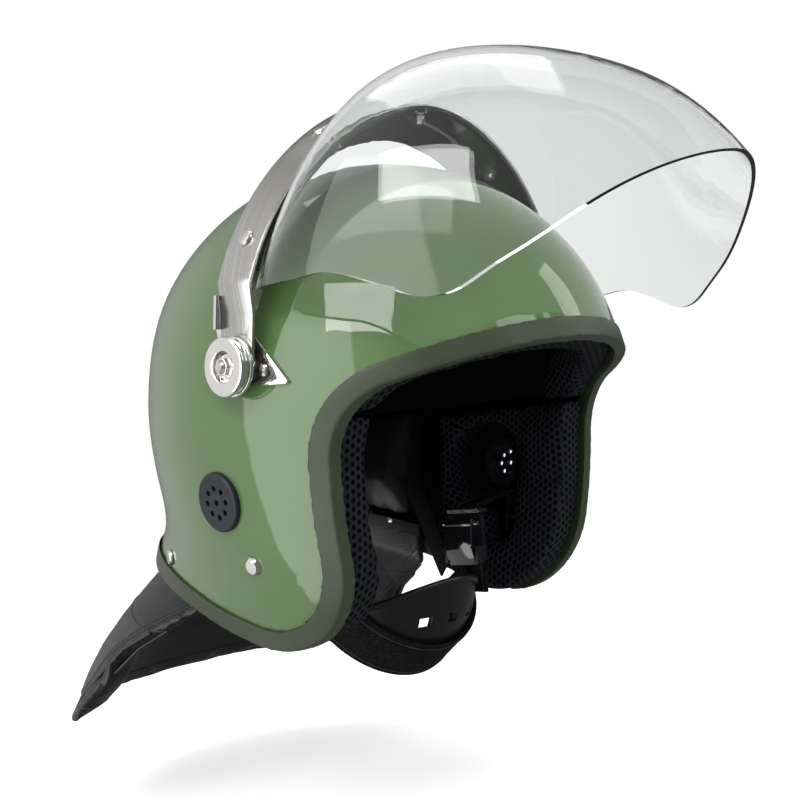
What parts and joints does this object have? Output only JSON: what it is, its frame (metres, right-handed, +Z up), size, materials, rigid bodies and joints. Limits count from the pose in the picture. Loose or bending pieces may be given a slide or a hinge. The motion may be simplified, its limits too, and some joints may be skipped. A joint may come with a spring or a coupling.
{
  "type": "riot helmet",
  "caption": "Open-face protective helmet with a hinged clear visor on a steel strap frame, edge trim, padded neck guard and chin harness.",
  "frame": {"origin": "middle of the head opening, level with the lowest point of the cheek rims", "axes": "+Z up, -Y towards the wearer's front, +X towards the wearer's left"},
  "size_m": [0.2636, 0.4505, 0.3257],
  "materials": {
    "shell_paint": "gloss",
    "trim_rubber": "satin",
    "liner_foam": "matte",
    "mesh_fabric": "matte",
    "black_leather": "semi-gloss",
    "black_plastic": "satin",
    "gloss_black": "gloss",
    "cup_plastic": "satin",
    "washer_plastic": "matte",
    "chrome_plate": "polished",
    "zinc_steel": "satin",
    "brushed_strap": "brushed",
    "seal_rubber": "matte",
    "clear_visor": "gloss",
    "webbing": "woven"
  },
  "bodies": {
    "shell_body": {"brow_pad": "mesh_fabric", "buckle_frame": "black_plastic", "buckle_pin": "zinc_steel", "cheek_pad_left": "mesh_fabric", "cheek_pad_right": "mesh_fabric", "chin_band": "webbing", "chin_cup": "cup_plastic", "chin_strap_left": "webbing", "chin_strap_right": "webbing", "crown_pad": "mesh_fabric", "ear_cap_left": "black_plastic", "ear_cap_right": "black_plastic", "ear_clip_left": "black_plastic", "ear_clip_right": "black_plastic", "edge_trim": "trim_rubber", "friction_washer_left": "washer_plastic", "friction_washer_right": "washer_plastic", "impact_liner": "liner_foam", "nape_pad": "black_leather", "nape_strap_left": "webbing", "nape_strap_right": "webbing", "neck_guard": "black_leather", "neck_guard_batten": "black_plastic", "neck_guard_screws": "zinc_steel", "pivot_backing_left": "black_plastic", "pivot_backing_right": "black_plastic", "pivot_bolt_left": "zinc_steel", "pivot_bolt_right": "zinc_steel", "pivot_nut_left": "zinc_steel", "pivot_nut_right": "zinc_steel", "pivot_plate_left": "chrome_plate", "pivot_plate_right": "chrome_plate", "plate_screws": "chrome_plate", "shell": "shell_paint", "strap_ring": "zinc_steel", "strap_rivets": "chrome_plate"},
    "visor_frame": {"visor_bail": "brushed_strap", "bail_seal": "seal_rubber", "visor": "clear_visor", "visor_screws": "zinc_steel", "visor_nuts": "zinc_steel"},
    "knob_right": {"pivot_knob_right": "chrome_plate"},
    "knob_left": {"pivot_knob_left": "chrome_plate"},
    "buckle_lever": {"buckle_lever": "gloss_black"}
  },
  "joints": [
    {"name": "visor_swing", "type": "hinge", "parent": "shell_body", "child": "visor_frame", "pos_m": [0, -0.0255, 0.141], "axis": [1, 0, 0], "range_deg": [0, 78]},
    {"name": "knob_right_turn", "type": "hinge", "parent": "shell_body", "child": "knob_right", "pos_m": [-0.1264, -0.0255, 0.141], "axis": [-1, 0, 0], "range_deg": [-180, 180]},
    {"name": "knob_left_turn", "type": "hinge", "parent": "shell_body", "child": "knob_left", "pos_m": [0.1264, -0.0255, 0.141], "axis": [1, 0, 0], "range_deg": [-180, 180]},
    {"name": "buckle_open", "type": "hinge", "parent": "shell_body", "child": "buckle_lever", "pos_m": [0.0463, -0.0115, 0.047], "axis": [0, 1, 0], "range_deg": [0, 70]}
  ]
}
